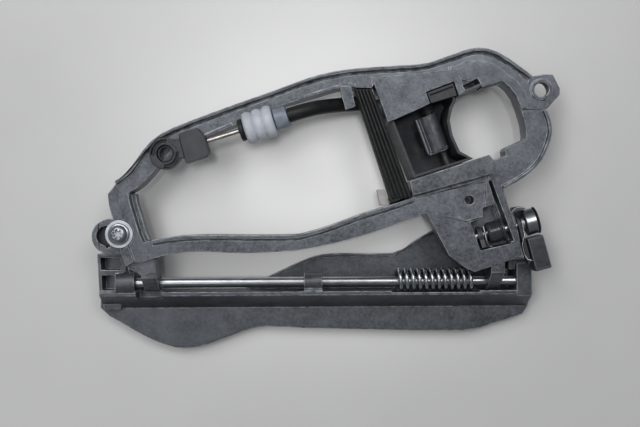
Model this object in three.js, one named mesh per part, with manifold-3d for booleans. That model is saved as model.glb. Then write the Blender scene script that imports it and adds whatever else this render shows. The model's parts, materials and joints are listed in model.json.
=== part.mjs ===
// Carrier of an outside car door handle: a die-cast frame with a sprung pull flap on a steel rod,
// a cable catch in a plastic guide housing, and a crash weight that swings on its own shaft.
// Millimetres, +Z up. The origin is under the middle of the part, on the plane that it lies on.
// +X runs along the hinge rod, from the slotted front ear to the round rear ear.

import * as THREE from "three";
import * as BufferGeometryUtils from "three/addons/utils/BufferGeometryUtils.js";
import Module from "manifold-3d";

const wasm = await Module();
wasm.setup();

// ---------------------------------------------------------------- driving dimensions

const GAP = 0.3;

// heights of the casting above the plane that the part lies on
const BAND_LOW = 19.5;
const BAND_TOP = 32;
const LIP_TOP = 34.5;
const INNER_RIB_TOP = 33;
const LIP_WIDTH = 1.5;
const GROOVE_WIDTH = 0.8;
const GROOVE_DEPTH = 1;
const LEDGE_TOP = 28.5;
const WEB_LOW = 28.6;
const RIB_WALL = 2.2;
const WINDOW_FLOOR = 21;
const DEEP_CUT = 9;
const GUSSET_LOW = 31.2;
const GUSSET_TOP = 34.2;

// hinge rod and what turns on it
const ROD_Y = -38.4;
const ROD_Z = 17;
const ROD_RADIUS = 2.5;
const ROD_BORE = ROD_RADIUS + GAP;
const ROD_FROM = -97;
const ROD_TO = 95.5;
const LUG_RADIUS = 4.1;
const COIL_Y = ROD_Y + 1;
const COIL_OUTER = 5.65;
const COIL_WIRE = 0.95;
const COIL_FROM = 35.6;
const COIL_TO = 71.6;
const COIL_TURNS = 11.5;

// pull flap
const WALL_TOP = 20.5;
const WALL_BACK = -42.6;
const WALL_FRONT = -44.5;
const WALL_FOOT = -51.2;
const WING_LOW = 6.5;
const WING_TOP = 9;
const RIM_WIDTH = 2;
const TAIL_LOW = 2.6;
const TAIL_TOP = 5;
const POCKET_FLOOR = 12;

// rear ear, front ear and the screw
const REAR_EAR = [101.3, 50.9];
const REAR_HOLE_RADIUS = 3.3;
const FRONT_EAR = [-99.4, -15.8];
const FRONT_EAR_RADIUS = 8.3;
const EAR_LOW = 24.5;
const EAR_TOP = 29.6;
const SCREW = [-94.6, -14.7];
const SCREW_SHANK = 3;
const NUT_PLATE_END = [-100.2, -15.4];

// guide housing, with the catch on its cross pin
const HOUSING_TOP = 30.8;
const HOUSING_WALL = 1.4;
const HOUSING_CENTRE = [51.2, 31];
const HOUSING_YAW = THREE.MathUtils.degToRad(20);
const PIN_U = 3;
const PIN_Z = 21;
const PIN_RADIUS = 1.5;

// pull cable: the straight stretch starts at the eyelet and climbs a little towards the sheath
const EYELET = [-71.5, 22, 36.6];
const CABLE_YAW = THREE.MathUtils.degToRad(16.7);
const CABLE_PITCH = THREE.MathUtils.degToRad(3);
const SHEATH_RADIUS = 3.4;
const SHEATH_START = 58.7;

// crash weight and its shaft
const INERTIA = [98.2, -9.7, 28];
const INERTIA_YAW = THREE.MathUtils.degToRad(15);
const SHAFT_RADIUS = 2;

// ribbed bridge
const BRIDGE_LOW = 31;
const BRIDGE_TOP = 35.6;
const RIB_TOP = 36.8;
const BRIDGE_FOOT = BAND_LOW - GAP - 3.4;

// ---------------------------------------------------------------- finishes

const FINISHES = {
  die_cast: [0x74787e, 0.55, 0.75],
  zinc_steel: [0xb4b8bd, 0.3, 0.95],
  dark_steel: [0x4a4c50, 0.45, 0.8],
  black_plastic: [0x1c1d1f, 0.6, 0],
  soft_white: [0xd6dae0, 0.55, 0],
  pale_plastic: [0x9aa0a6, 0.5, 0],
  sheath_black: [0x17181a, 0.5, 0],
};

// ---------------------------------------------------------------- helpers

const model = new THREE.Group();

function point(x, y) {
  return new THREE.Vector2(x, y);
}

function smooth(corners, perSpan = 2) {
  const curve = new THREE.SplineCurve(corners.map(([x, y]) => point(x, y)));
  return curve.getPoints((corners.length - 1) * perSpan);
}

function straight(corners) {
  return corners.map(([x, y]) => point(x, y));
}

function arc([x, y], radius, fromDegrees, toDegrees, steps) {
  const points = [];
  for (let i = 0; i <= steps; i += 1) {
    const angle = THREE.MathUtils.degToRad(fromDegrees + ((toDegrees - fromDegrees) * i) / steps);
    points.push(point(x + radius * Math.cos(angle), y + radius * Math.sin(angle)));
  }
  return points;
}

function circle(centre, radius, sides = 20) {
  return arc(centre, radius, 0, 360 - 360 / sides, sides - 1);
}

// a bar with round ends from one point to another
function stadium(from, to, radius, steps = 8) {
  const angle = THREE.MathUtils.radToDeg(Math.atan2(to[1] - from[1], to[0] - from[0]));
  return [
    ...arc(to, radius, angle - 90, angle + 90, steps),
    ...arc(from, radius, angle + 90, angle + 270, steps),
  ];
}

// the same line moved sideways, to the right of its direction of travel
function beside(points, distance, closed = false) {
  return points.map((here, i) => {
    const last = points.length - 1;
    const before = points[closed ? (i + last) % points.length : Math.max(i - 1, 0)];
    const after = points[closed ? (i + 1) % points.length : Math.min(i + 1, last)];
    const into = here.clone().sub(before).normalize();
    const out = after.clone().sub(here).normalize();
    const along = into.clone().add(out).normalize();
    const corner = into.lengthSq() && out.lengthSq() ? Math.max(along.dot(out), 0.5) : 1;
    return point(here.x + (along.y * distance) / corner, here.y - (along.x * distance) / corner);
  });
}

function strip(line, near, far) {
  return [...beside(line, near), ...beside(line, far).reverse()];
}

// the outline's points, running the way round that is asked for
function wound(outline, clockwise) {
  const same = THREE.ShapeUtils.isClockWise(outline) === clockwise;
  return same ? outline : outline.slice().reverse();
}

function slab(outline, low, high, holes = []) {
  const shape = new THREE.Shape(wound(outline, false));
  shape.holes = holes.map((hole) => new THREE.Path(wound(hole, true)));
  const body = new THREE.ExtrudeGeometry(shape, { depth: high - low, bevelEnabled: false });
  return body.translate(0, 0, low);
}

// an outline drawn in (y, z), pushed out along +X
function slabAlongX(outline, fromX, toX, holes = []) {
  const turn = new THREE.Matrix4().makeBasis(
    new THREE.Vector3(0, 1, 0),
    new THREE.Vector3(0, 0, 1),
    new THREE.Vector3(1, 0, 0),
  );
  return slab(outline, fromX, toX, holes).applyMatrix4(turn);
}

// an outline drawn in (x, z), pushed out along +Y
function slabAlongY(outline, fromY, toY, holes = []) {
  const turn = new THREE.Matrix4().makeBasis(
    new THREE.Vector3(1, 0, 0),
    new THREE.Vector3(0, 0, 1),
    new THREE.Vector3(0, -1, 0),
  );
  return slab(outline, -toY, -fromY, holes).applyMatrix4(turn);
}

// a turned part on the local X axis: pairs of (distance along X, radius), closed on the axis
// or, with a bore, closed on itself
function turned(profile, sides = 20) {
  const points = profile.map(([along, radius]) => point(radius, along));
  const body = new THREE.LatheGeometry(points, sides);
  return body.rotateZ(-Math.PI / 2);
}

function rodAlongX(from, to, radius, sides = 20) {
  return turned([[from, 0], [from, radius], [to, radius], [to, 0]], sides);
}

function tubeAlongX(from, to, radius, bore, sides = 20) {
  return turned([[from, bore], [from, radius], [to, radius], [to, bore], [from, bore]], sides);
}

// a round wire or hose along a curve through 3D points
function wire(points, radius, steps, sides = 8) {
  const path = new THREE.CatmullRomCurve3(points.map((p) => new THREE.Vector3(...p)), false, "centripetal");
  const section = new THREE.Shape(circle([0, 0], radius, sides));
  return new THREE.ExtrudeGeometry(section, { steps, bevelEnabled: false, extrudePath: path });
}

// points of a coil round the local X axis
function coilPoints(from, to, radius, turns, perTurn = 12, startDegrees = 0) {
  const points = [];
  const count = Math.round(turns * perTurn);
  for (let i = 0; i <= count; i += 1) {
    const angle = THREE.MathUtils.degToRad(startDegrees) + (2 * Math.PI * i) / perTurn;
    points.push([from + ((to - from) * i) / count, radius * Math.cos(angle), radius * Math.sin(angle)]);
  }
  return points;
}

function solidOf(geometry) {
  const bare = geometry.clone();
  bare.deleteAttribute("normal");
  bare.deleteAttribute("uv");
  const merged = BufferGeometryUtils.mergeVertices(bare, 1e-4);
  return new wasm.Manifold(new wasm.Mesh({
    numProp: 3,
    vertProperties: new Float32Array(merged.attributes.position.array),
    triVerts: new Uint32Array(merged.index.array),
  }));
}

function geometryOf(solid) {
  const mesh = solid.getMesh();
  const geometry = new THREE.BufferGeometry();
  geometry.setAttribute("position", new THREE.BufferAttribute(new Float32Array(mesh.vertProperties), 3));
  geometry.setIndex(Array.from(mesh.triVerts));
  return geometry;
}

function join(...geometries) {
  const [first, ...others] = geometries.map(solidOf);
  return geometryOf(others.reduce((whole, other) => whole.add(other), first));
}

function cut(body, ...tools) {
  return geometryOf(tools.map(solidOf).reduce((whole, tool) => whole.subtract(tool), solidOf(body)));
}

function add(parent, name, finish, geometry) {
  const [color, roughness, metalness] = FINISHES[finish];
  const material = new THREE.MeshStandardMaterial({ color, roughness, metalness });
  const mesh = new THREE.Mesh(geometry, material);
  mesh.name = name;
  parent.add(mesh);
  return mesh;
}

// ---------------------------------------------------------------- groups that are turned in place

const inertia = new THREE.Group();
inertia.position.set(...INERTIA);
inertia.rotation.z = INERTIA_YAW;

const cable = new THREE.Group();
cable.position.set(...EYELET);
cable.rotation.order = "ZYX";
cable.rotation.set(0, -CABLE_PITCH, CABLE_YAW);

const housingFrame = new THREE.Group();
housingFrame.position.set(...HOUSING_CENTRE, 0);
housingFrame.rotation.z = HOUSING_YAW;

model.add(inertia, cable, housingFrame);
model.updateMatrixWorld(true);

// a geometry drawn in a turned group, moved to where the group stands
function placed(group, geometry) {
  return geometry.applyMatrix4(group.matrixWorld);
}

// ---------------------------------------------------------------- outlines of the casting

const UPPER_OUTER = smooth([
  [-95.8, 9.6], [-89.1, 14.8], [-82.6, 24], [-74.5, 31.4], [-60.4, 37.4], [-41.5, 44.3],
  [-22.7, 50.8], [-6, 56.8], [4.5, 59.4], [15.1, 60.9], [36.2, 62.2], [45.5, 62.8], [51.4, 64.1],
  [63.2, 68.2], [72, 70.2], [80.8, 68.2], [89.9, 62.3], [96.8, 57],
]);
const REAR_EAR_EDGE = straight([[102, 58], [106.8, 57.9], [110, 51.4], [109.9, 48.6], [104.9, 43.1]]);
const RING_RIGHT = smooth([
  [103.2, 41.5], [105.5, 34], [104.7, 27], [100.5, 17.8], [93, 10.6], [83.4, 5.2],
], 3);
const BLOCK_EDGE = straight([
  [86.3, -3.5], [90.2, -14.3], [92.3, -25.6], [85.9, -28.1], [70.1, -33.2], [65.1, -30.8],
  [58.2, -25.5], [51.5, -12.7],
]);
const LOWER_OUTER = smooth([
  [48, -5.8], [37.3, -9.4], [22.1, -14.8], [7.2, -18.9], [-7.9, -21.9], [-15.3, -22.9],
  [-36.1, -23.8], [-53.4, -23.1], [-62.8, -23.1], [-74.6, -24.9], [-84, -28],
]);
const STRUT_OUTER = smooth([
  [-91.1, -27.7], [-93, -20.7], [-97.5, -9.1], [-99.8, -1.1], [-100.3, 4],
]);

const UPPER_INNER = smooth([
  [-89.5, 4.4], [-85.1, 7.2], [-81.4, 10.7], [-77.7, 14.8], [-72.1, 20.3], [-65.7, 24.4],
  [-53.6, 30.1], [-41.6, 35.1], [-24.1, 42.6], [-8.4, 47.5], [-0.8, 49.7], [7.1, 52], [15, 52.5],
]);
const GUSSET_EDGE = [
  [23, 52.1], [23.9, 53.7], [30.2, 36], [41.3, 40.7], [49.6, 44.6], [47.8, 49.9], [60.7, 54.7],
  [62.9, 48],
];
const LOCK_EDGE = [
  [66.2, 50], [73.6, 53.2], [74, 51.9], [83.1, 54.8], [86.6, 51.9], [89.5, 47.8],
  [91.8, 41.9], [93.5, 36], [94.3, 30.1], [94, 28.4], [85.2, 24.4], [84.3, 23.1], [84.8, 20.5],
  [78.7, 18.4], [76.7, 20.8],
];
const LOWER_INNER = smooth([
  [-79, -17.4], [-67.3, -15.7], [-53.4, -15.1], [-35.9, -15.4], [-15.2, -15.4], [-7.8, -14.4],
  [3.2, -11.2], [18.2, -5.8], [31.2, -1.9], [41.5, 1.6],
]);
const STRUT_INNER = smooth([[-89.9, 4], [-89.2, -0.7], [-87.4, -6.3], [-85.1, -14.3], [-83.3, -18.6]]);

const LEDGE_EDGE = straight([[73.3, 19.8], [39.9, 9]]);
const WINDOW = straight([
  [68.2, -10.3], [74.3, -7.8], [74.3, -3.6], [80.3, -1.8], [87, -20], [72.9, -23.2],
]);

const HOUSING_OUTLINE = straight([
  [27.8, 47.2], [42.2, 10.4], [70, 19.3], [63.7, 22.8], [60.5, 30], [59.1, 37], [60.2, 42.5],
  [62.2, 46.6], [60, 51], [46.5, 47.8],
]);

// ---------------------------------------------------------------- carrier casting

// the hollows cast into the underside of both arms, with a cross rib between each two
function undersidePockets() {
  const arms = [
    [UPPER_OUTER.slice(7, 19), UPPER_INNER.slice(8)],
    [LOWER_INNER.slice(2), LOWER_OUTER.slice(0, 19).reverse()],
  ];
  return arms.flatMap(([above, below]) => {
    const [top, foot] = [beside(above, RIB_WALL), beside(below, -RIB_WALL)].map((line) => (
      new THREE.SplineCurve(line)
    ));
    const cells = 5;
    const pockets = [];
    for (let i = 0; i < cells; i += 1) {
      const [from, to] = [(i + 0.06) / cells, (i + 0.94) / cells];
      const steps = [0, 1, 2, 3, 4].map((step) => from + ((to - from) * step) / 4);
      const near = steps.map((t) => top.getPoint(t));
      const far = steps.map((t) => foot.getPoint(t)).reverse();
      pockets.push(slab([...near, ...far], BAND_LOW - 1, WEB_LOW));
    }
    return pockets;
  });
}

// a lug round the hinge rod, reaching up and back to the casting
function rodLug(fromX, toX, radius, backY, topZ) {
  const round = circle([ROD_Y, ROD_Z], radius, 20);
  const web = straight([
    [ROD_Y - radius * 0.7, ROD_Z + radius * 0.7], [backY - 5, topZ], [backY, topZ],
    [backY, BAND_LOW - 2], [ROD_Y + radius, ROD_Z - 2], [ROD_Y, ROD_Z],
  ]);
  return join(slabAlongX(round, fromX, toX), slabAlongX(web, fromX, toX));
}

function carrierFrame() {
  const outer = [
    ...UPPER_OUTER, ...REAR_EAR_EDGE, ...RING_RIGHT, ...BLOCK_EDGE, ...LOWER_OUTER, ...STRUT_OUTER,
  ];
  const opening = [
    ...UPPER_INNER, ...straight(GUSSET_EDGE), ...straight(LOCK_EDGE), ...LEDGE_EDGE,
    ...LOWER_INNER.slice().reverse(), ...STRUT_INNER.slice().reverse(),
  ];
  const band = slab(outer, BAND_LOW, BAND_TOP, [opening]);

  const upperLip = slab(strip(UPPER_OUTER, 0, LIP_WIDTH), BAND_LOW + 1, LIP_TOP);
  const ringLip = slab(strip(RING_RIGHT, 0, LIP_WIDTH), BAND_LOW + 1, LIP_TOP);
  const lowerLip = slab(strip(LOWER_INNER, 0, LIP_WIDTH + 0.3), BAND_LOW + 1, LIP_TOP);
  const innerRibs = [UPPER_INNER.slice(8, 15), UPPER_INNER.slice(18)].map((line) => (
    slab(strip(line, -1.3, 0), BAND_LOW + 1, INNER_RIB_TOP)
  ));
  const ledge = slab(
    straight([
      [39.9, 9], [41.4, 2.3], [76.3, 11.7], [79.3, 12.6], [78.7, 18.4], [76.7, 20.8], [73.3, 19.8],
    ]),
    BAND_LOW + 1,
    LIP_TOP,
  );
  const gusset = slab(
    [...straight(GUSSET_EDGE), ...straight([[66.2, 50], [62.5, 60], [22, 57]])],
    BAND_TOP - 2,
    GUSSET_TOP,
  );
  const saddleTop = slab(
    straight([
      [8.3, 50.4], [8.1, 52.6], [13.3, 52.8], [13.5, 50.4], [14.4, 47.2], [15.3, 43.3], [10.6, 41.8],
    ]),
    33.6,
    36.2,
  );
  const saddleRoot = slab(
    straight([[8.5, 51.4], [8.3, 54.2], [13, 54.4], [13.1, 51.6]]), BAND_TOP - 2, 34.2,
  );
  const rearEarRing = slab(circle(REAR_EAR, 5, 24), BAND_TOP - 1, BAND_TOP + 0.8);
  const frontEar = slab(
    [
      ...arc(FRONT_EAR, FRONT_EAR_RADIUS, 75, 290, 16),
      ...straight([[-91.5, -23.8], [-90, -12], [-94, -5]]),
    ],
    EAR_LOW,
    EAR_TOP,
  );
  const strutKnob = slab(
    straight([[-94.3, -20.9], [-90.1, -19], [-87.3, -27.4], [-91, -29.8]]),
    BAND_LOW + 1,
    BAND_TOP + 1.2,
  );
  const frontCorner = slab(
    straight([[-92, -26], [-84, -22], [-77.8, -26], [-77.8, -33], [-85.2, -34], [-91, -30.5]]),
    BAND_LOW,
    BAND_TOP - 3,
  );
  const frontLug = rodLug(-85.2, -77.8, LUG_RADIUS, -30.5, BAND_TOP - 4);
  const rearLug = rodLug(77.9, 84.3, LUG_RADIUS, -28.6, BAND_TOP - 1);
  const strutFoot = slab(strip(STRUT_INNER, -2.2, 0.5), BAND_LOW + 0.4, BAND_TOP - 6);
  const land = slab(
    [
      ...smooth([
        [58.6, 61.2], [62.4, 62.7], [69.6, 64.2], [75.1, 64], [80.7, 61.8], [86.2, 57.6], [90.2, 54.6],
      ]),
      ...straight([[93.4, 50], [94.6, 42.6]]),
      ...beside(straight(LOCK_EDGE.slice(2, 7)), -0.15).reverse(),
      ...straight([[72.4, 54], [60.6, 56.4]]),
    ],
    BAND_TOP - 1,
    INNER_RIB_TOP,
  );
  const flangeBoss = slab(circle([91.4, -7.4], 4.4, 20), BAND_LOW, BAND_TOP - 1.5);

  const body = join(
    band, upperLip, ringLip, lowerLip, ...innerRibs, ledge, gusset, saddleTop, saddleRoot,
    rearEarRing, frontEar, strutKnob, frontCorner, frontLug, rearLug, strutFoot, land, flangeBoss,
  );

  const grooves = [UPPER_OUTER.slice(4), LOWER_INNER].map((line) => (
    slab(strip(line, LIP_WIDTH + 0.3, LIP_WIDTH + 0.3 + GROOVE_WIDTH), BAND_TOP - GROOVE_DEPTH, LIP_TOP - 2)
  ));
  const ledgeGroove = slab(
    strip(straight([[43, 2], [76.3, 11]]), 0, 1), BAND_TOP - GROOVE_DEPTH, LIP_TOP + 1,
  );
  const strutLedge = slab(
    straight([
      [-106, 12], [-96.2, 10], [-95, 5.8], [-93.1, -8.2], [-90.6, -18.4], [-94.8, -20.6], [-91.5, -30.2],
      [-104, -26],
    ]),
    LEDGE_TOP,
    LIP_TOP + 1,
  );
  const earTop = slab(circle(FRONT_EAR, FRONT_EAR_RADIUS + 1, 24), EAR_TOP, LIP_TOP + 1);
  const clipPocket = slab(
    straight([[65.7, 51], [64.7, 52.7], [71.6, 56.2], [73, 54]]), BAND_LOW + 2, LIP_TOP + 1,
  );
  const nutRoom = slab(stadium(NUT_PLATE_END, SCREW, 6.2), 0, EAR_LOW);
  const screwRoom = slab(circle(SCREW, 6.9, 28), EAR_TOP, LIP_TOP + 1);
  const slot = slab(stadium([-100.9, -15.5], [-95.2, -14.7], 4.6), 0, LIP_TOP);
  const keyNotch = slab(circle([-100.4, -20.4], 1, 10), 0, LIP_TOP);
  const rearHole = slab(circle(REAR_EAR, REAR_HOLE_RADIUS, 24), 0, LIP_TOP + 1);
  const earRelief = slab(circle(REAR_EAR, 5.4, 24), 0, BAND_TOP - 4);
  const window = slab(WINDOW, WINDOW_FLOOR, LIP_TOP + 1);
  const blockHole = slab(circle([67.9, 0.1], 2.1, 16), BAND_TOP - DEEP_CUT, LIP_TOP + 1);
  const blockStep = slab(
    straight([[60.9, 5.4], [62.6, -7.4], [66, -9.6], [74.5, -7.6], [75.6, 8.6]]),
    BAND_TOP - 0.9,
    BAND_TOP + 1,
  );
  const flangeGroove = slab(
    straight([[76.8, 8.8], [78, 9.2], [82.6, -3.4], [88.2, -18.8], [86.2, -19.2], [79.6, -1.4]]),
    BAND_TOP - DEEP_CUT,
    BAND_TOP + 1,
  );
  const housingPocket = slab(beside(HOUSING_OUTLINE, 0.5, true), 0, GUSSET_LOW);
  const sheathPocket = slab(straight([[21, 41], [34, 34], [34, 50], [21, 50]]), 0, GUSSET_LOW);
  const rodBore = rodAlongX(-120, 120, ROD_BORE, 24).translate(0, ROD_Y, ROD_Z);
  const coilRoom = rodAlongX(COIL_FROM - 3, COIL_TO + 3, COIL_OUTER + 2 * GAP, 24)
    .translate(0, COIL_Y, ROD_Z);
  const shaftBore = placed(inertia, rodAlongX(-32, 6, SHAFT_RADIUS + GAP, 20));
  const headRoom = placed(inertia, rodAlongX(-8.4, 6, 6.8, 28));

  return cut(
    body, ...grooves, ledgeGroove, strutLedge, earTop, screwRoom, nutRoom, clipPocket, slot, keyNotch,
    rearHole, earRelief, window, blockHole, blockStep, flangeGroove, housingPocket, sheathPocket,
    rodBore, coilRoom, shaftBore, headRoom, ...undersidePockets(),
  );
}

add(model, "carrier_frame", "die_cast", carrierFrame());

// ---------------------------------------------------------------- pull flap

function pullFlap() {
  const wingOutline = [
    ...straight([[-108.6, -42.6], [-108.8, -51.1], [-104.6, -55]]),
    ...smooth([[-95.2, -60.4], [-83.1, -67], [-72, -70.6], [-64.5, -70.7], [-56.5, -69.2], [-44.1, -64.6],
      [-34.8, -61.6], [-27, -60.6], [-10, -61.5]]),
    ...smooth([[21.2, -62.4], [67.8, -63.2], [81.6, -60], [97.2, -55.3]]),
    ...straight([[99.7, -51.4], [99.7, -42.6]]),
  ];
  const wing = slab(wingOutline, WING_LOW, WING_TOP);
  const rim = slab(wingOutline, 0, WING_TOP, [beside(wingOutline, -RIM_WIDTH, true)]);
  const wall = slabAlongX(
    straight([
      [WALL_BACK, TAIL_LOW], [WALL_BACK, WALL_TOP], [WALL_FRONT, WALL_TOP], [WALL_FOOT, WING_TOP],
      [WALL_FOOT, WING_LOW], [WALL_FRONT, WING_LOW + 4], [WALL_FRONT, TAIL_LOW],
    ]),
    -106.6,
    99.4,
  );
  const frontPad = slab(
    straight([[-106.3, -44], [-97.7, -44], [-97.7, -51.6], [-106.3, -51.6]]), WING_LOW + 1, WING_TOP + 4,
  );
  const tailEdge = smooth([
    [-40, -43.2], [-32, -38.9], [-24.7, -35.4], [-16.3, -31.6], [-8, -28], [-0.5, -25.9], [10, -25.3],
    [34.3, -25.4], [43.6, -20.6], [54.6, -13.9], [66, -10],
  ]);
  const tailCorners = straight([[84, -12], [90, -24], [90, -43.4], [-40, -43.4]]);
  const tail = slab([...tailEdge, ...tailCorners], TAIL_LOW, TAIL_TOP);
  const tailRib = slab(strip(tailEdge, 0, 1.4), TAIL_LOW, TAIL_TOP + 1.4);
  const frontBox = slab(
    straight([[-107.5, -24.3], [-94, -25.4], [-93.8, -33], [-97, -33.6], [-97, -43.6], [-106.5, -43.6]]),
    0,
    WALL_TOP - 0.2,
  );
  const frontLug = slabAlongX(
    [...arc([ROD_Y, ROD_Z], 5.8, -60, 180, 14), point(WALL_FRONT, TAIL_LOW), point(-32, TAIL_LOW)],
    -98.7,
    -89.6,
  );
  const middleLug = slabAlongX(
    [...arc([ROD_Y, ROD_Z], 4.4, -90, 130, 14), point(WALL_BACK - 1, WALL_TOP), point(WALL_BACK - 1, 10)],
    -9.1,
    -0.4,
  );
  const rearBlock = slabAlongX(
    straight([[WALL_FRONT - 1, 0], [WALL_FRONT - 1, 21], [-29.8, 21], [-29.8, 0]]), 91.8, 99,
  );
  const rearBar = slabAlongX(
    straight([[-33, TAIL_LOW], [-33, 17], [-27.9, 17], [-27.9, TAIL_LOW]]), 88.9, 98.7,
  );
  const body = join(
    wing, rim, wall, frontPad, tail, tailRib, frontBox, frontLug, middleLug, rearBlock, rearBar,
  );

  const pockets = [
    straight([[-105.9, -26], [-96.4, -26.6], [-96.4, -31.9], [-105.6, -31.9]]),
    straight([[-105.4, -34.6], [-99.4, -34.6], [-99.4, -41.6], [-105.1, -41.6]]),
  ].map((outline) => slab(outline, POCKET_FLOOR, WALL_TOP + 1));
  const lugNotch = slab(
    straight([[-89.2, -40], [-77.2, -40], [-77.2, -46], [-89.2, -46]]), POCKET_FLOOR - 1, WALL_TOP + 1,
  );
  const rodBore = rodAlongX(-98, 97, ROD_BORE, 24).translate(0, ROD_Y, ROD_Z);
  const coilRoom = slabAlongX(
    straight([
      [COIL_Y, 10], [COIL_Y, WALL_TOP + 1], [WALL_BACK - 0.8, WALL_TOP + 1], [WALL_BACK - 0.8, 10],
    ]),
    COIL_FROM - 3,
    COIL_TO + 3,
  );
  return cut(body, ...pockets, lugNotch, rodBore, coilRoom);
}

add(model, "pull_flap", "die_cast", pullFlap());

// ---------------------------------------------------------------- rod and return spring

function hingeRod() {
  const chamfer = 0.5;
  return turned([
    [ROD_FROM, 0], [ROD_FROM, ROD_RADIUS - chamfer], [ROD_FROM + chamfer, ROD_RADIUS],
    [ROD_TO - chamfer, ROD_RADIUS], [ROD_TO, ROD_RADIUS - chamfer], [ROD_TO, 0],
  ], 20).translate(0, ROD_Y, ROD_Z);
}

function returnSpring() {
  const mean = COIL_OUTER - COIL_WIRE;
  const turns = coilPoints(COIL_FROM, COIL_TO, mean, COIL_TURNS, 12, 200);
  const [, firstY, firstZ] = turns[0];
  const leg = [[COIL_FROM - 1.1, firstY - 0.4, firstZ - 4], [COIL_FROM - 0.6, firstY - 0.1, firstZ - 2]];
  const steps = turns.length + 2;
  return wire([...leg, ...turns], COIL_WIRE, steps, 6).translate(0, COIL_Y, ROD_Z);
}

add(model, "hinge_rod", "zinc_steel", hingeRod());
add(model, "return_spring", "zinc_steel", returnSpring());

// ---------------------------------------------------------------- fixing screw in the slotted ear

function screwGeometry() {
  const flangeLow = EAR_TOP + 1.5 + GAP;
  const body = turned([
    [16, 0], [16, SCREW_SHANK - 0.6], [16.6, SCREW_SHANK], [flangeLow, SCREW_SHANK], [flangeLow, 5],
    [flangeLow + 1, 5], [flangeLow + 1.4, 3.9], [flangeLow + 3, 3.8], [flangeLow + 3.6, 3.2],
    [flangeLow + 3.6, 0],
  ], 24).rotateY(-Math.PI / 2);
  const recess = [0, 60, 120].map((turn) => (
    slab(stadium([-1.7, 0], [1.7, 0], 0.5, 4), flangeLow + 1.6, flangeLow + 5)
      .rotateZ(THREE.MathUtils.degToRad(turn))
  ));
  return cut(body, ...recess).translate(SCREW[0], SCREW[1], 0);
}

function nutGeometry() {
  const plate = slab(stadium(NUT_PLATE_END, SCREW, 5.7), 21.4, EAR_LOW - GAP);
  const nut = slab(circle(SCREW, 4.9, 6), 18, 22);
  return cut(join(plate, nut), slab(circle(SCREW, SCREW_SHANK + GAP, 20), 10, 30));
}

add(model, "front_fixing_screw", "zinc_steel", screwGeometry());
add(
  model,
  "fixing_washer",
  "pale_plastic",
  slab(circle(SCREW, 6.5, 28), EAR_TOP + GAP, EAR_TOP + 1.5, [circle(SCREW, SCREW_SHANK + GAP, 20)]),
);
add(model, "fixing_nut", "dark_steel", nutGeometry());

// ---------------------------------------------------------------- ribbed bridge and its clip

function ribbedBridge() {
  const plate = slab(
    straight([[14.4, 51.5], [22.6, 51.4], [29, 35.2], [40.8, 2.2], [31.6, -1.3], [30.6, 0.6]]),
    BRIDGE_LOW,
    BRIDGE_TOP,
  );
  const ribs = [];
  const count = 5;
  for (let i = 0; i < count; i += 1) {
    const top = 15.6 + (6.2 * i) / (count - 1);
    const foot = 32.3 + (7.6 * i) / (count - 1);
    ribs.push(slab(strip(straight([[top, 50.9], [foot, 1.2]]), -0.5, 0.5), BRIDGE_TOP - 1, RIB_TOP));
  }
  const legs = [
    [[14.8, 51.4], [22.4, 51.4], [23, 49.9], [15.3, 49.9]],
    [[31, 1.2], [40.4, 4.4], [41.2, 2.2], [31.7, -1.2]],
  ].map((corners) => slab(straight(corners), BRIDGE_FOOT, BRIDGE_LOW + 1));
  const feet = [
    [[14.6, 56], [22, 56], [23, 49.9], [15.3, 49.9]],
    [[31, 1.2], [40.4, 4.4], [42.6, -1.6], [33.2, -4.8]],
  ].map((corners) => slab(straight(corners), BRIDGE_FOOT, BAND_LOW - GAP));
  return join(plate, ...ribs, ...legs, ...feet);
}

add(model, "ribbed_bridge", "black_plastic", ribbedBridge());
add(
  model,
  "bridge_clip",
  "pale_plastic",
  slab(
    straight([[25, 5.2], [28.6, 5.2], [30.1, 0.6], [30.9, -1.2], [28, -2.2], [26.3, -2]]),
    BAND_TOP - 5,
    BAND_TOP,
  ),
);

// ---------------------------------------------------------------- guide housing and catch

function guideHousing() {
  const shell = cut(
    slab(HOUSING_OUTLINE, 0, HOUSING_TOP),
    slab(beside(HOUSING_OUTLINE, -HOUSING_WALL, true), 2, HOUSING_TOP + 1),
  );
  const tabCorners = straight([[50.2, 44.8], [48.4, 49.7], [60.4, 54.1], [62.2, 48.4]]);
  const tab = slab(tabCorners, HOUSING_TOP - 3, 33.2);
  const slit = slab(strip(straight([[49.6, 49.2], [60, 53]]), 0.4, 1), 31.5, 34);
  const pinBore = placed(
    housingFrame,
    slabAlongY(circle([PIN_U, PIN_Z], PIN_RADIUS + GAP, 16), -30, 30),
  );
  const cableBore = rodAlongX(-6, 8, 2.9, 16).rotateZ(-HOUSING_YAW).translate(28.3, 44.4, 26.5);
  return cut(join(shell, tab), slit, pinBore, cableBore);
}

function catchLever() {
  const plateOutline = straight([[-5.4, 24.4], [-5.4, 26.8], [4.6, 26.2], [5.6, 24.6], [5.6, 20], [3, 19]]);
  const plate = slabAlongY(plateOutline, -9.5, 9.5);
  const hub = slabAlongY(circle([PIN_U, PIN_Z], 3.2, 16), -9.5, 9.5);
  const leg = slabAlongY(straight([[-5.4, 12.5], [-5.4, 26], [-3.2, 26], [-3.2, 12.5]]), -4, 4);
  const bore = slabAlongY(circle([PIN_U, PIN_Z], PIN_RADIUS + GAP, 16), -20, 20);
  const relief = slab(straight([[-6, -3.4], [-1, -3.4], [-1, -6.4], [-6, -6.4]]), 22, 30);
  return cut(join(plate, hub, leg), bore, relief);
}

function catchSpring() {
  const turns = coilPoints(10.1, 13.4, 2.9, 3.5, 12).map(([along, a, b]) => [PIN_U + a, along, PIN_Z + b]);
  return wire(turns, 0.4, turns.length - 1, 6);
}

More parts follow.
